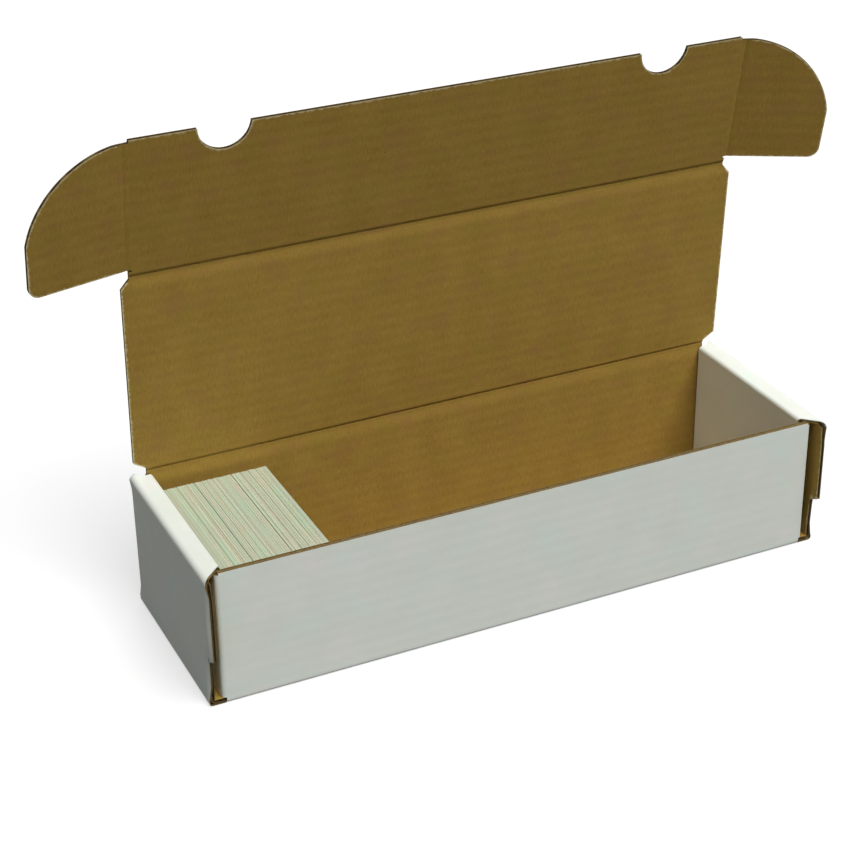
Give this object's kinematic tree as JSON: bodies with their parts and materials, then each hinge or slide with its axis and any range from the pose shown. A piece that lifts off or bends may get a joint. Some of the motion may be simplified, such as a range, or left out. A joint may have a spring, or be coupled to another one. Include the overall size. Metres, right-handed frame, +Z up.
{
  "type": "card storage box",
  "caption": "Folded corrugated row box for collectable cards: rolled ends, hinged lid with a front flap, thumb notches and curved tuck-in ears, and a short row of cards.",
  "frame": {"origin": "middle of the underside of the box, on the surface that it stands on", "axes": "+X along the row to the right, +Y from the front wall to the back wall that carries the lid, +Z up"},
  "size_m": [0.4342, 0.112, 0.2593],
  "materials": {
    "white_board": "matt white liner",
    "kraft_board": "bare kraft liner",
    "card_stock": "cut edges of coated card"
  },
  "bodies": {
    "box": {"bottom_panel": "kraft_board", "front_wall": "white_board", "back_wall": "white_board", "front_bottom_crease": "white_board", "back_bottom_crease": "white_board", "left_bottom_crease": "white_board", "right_bottom_crease": "white_board", "left_end_outer": "white_board", "right_end_outer": "white_board", "left_end_ridge": "white_board", "right_end_ridge": "white_board", "left_end_inner": "white_board", "right_end_inner": "white_board", "front_left_corner_flap": "white_board", "front_right_corner_flap": "white_board", "back_left_corner_flap": "white_board", "back_right_corner_flap": "white_board", "lid_crease": "kraft_board"},
    "lid": {"lid_panel": "kraft_board", "front_flap_crease": "kraft_board"},
    "front_flap": {"lid_front_flap": "kraft_board", "left_ear_crease": "kraft_board", "right_ear_crease": "kraft_board"},
    "left_ear": {"left_lid_ear": "kraft_board"},
    "right_ear": {"right_lid_ear": "kraft_board"},
    "cards": {"left_card_pack": "card_stock", "middle_card_pack": "card_stock", "right_card_pack": "card_stock"}
  },
  "joints": [
    {"name": "lid_hinge", "type": "hinge", "parent": "box", "child": "lid", "pos_m": [0, 0.0515, 0.0763], "axis": [1, 0, 0], "range_deg": [-93.4, 86.6]},
    {"name": "front_flap_hinge", "type": "hinge", "parent": "lid", "child": "front_flap", "pos_m": [0, 0.04498, 0.18601], "axis": [1, 0, 0], "range_deg": [-7.2, 82.8]},
    {"name": "left_ear_fold", "type": "hinge", "parent": "front_flap", "child": "left_ear", "pos_m": [-0.1682, 0.04498, 0.18601], "axis": [0, -0.184, 0.9829], "range_deg": [-10, 80]},
    {"name": "right_ear_fold", "type": "hinge", "parent": "front_flap", "child": "right_ear", "pos_m": [0.1682, 0.04498, 0.18601], "axis": [0, 0.184, -0.9829], "range_deg": [-20, 70]},
    {"name": "card_slide", "type": "slide", "parent": "box", "child": "cards", "axis": [1, 0, 0], "range_m": [0, 0.264]}
  ]
}
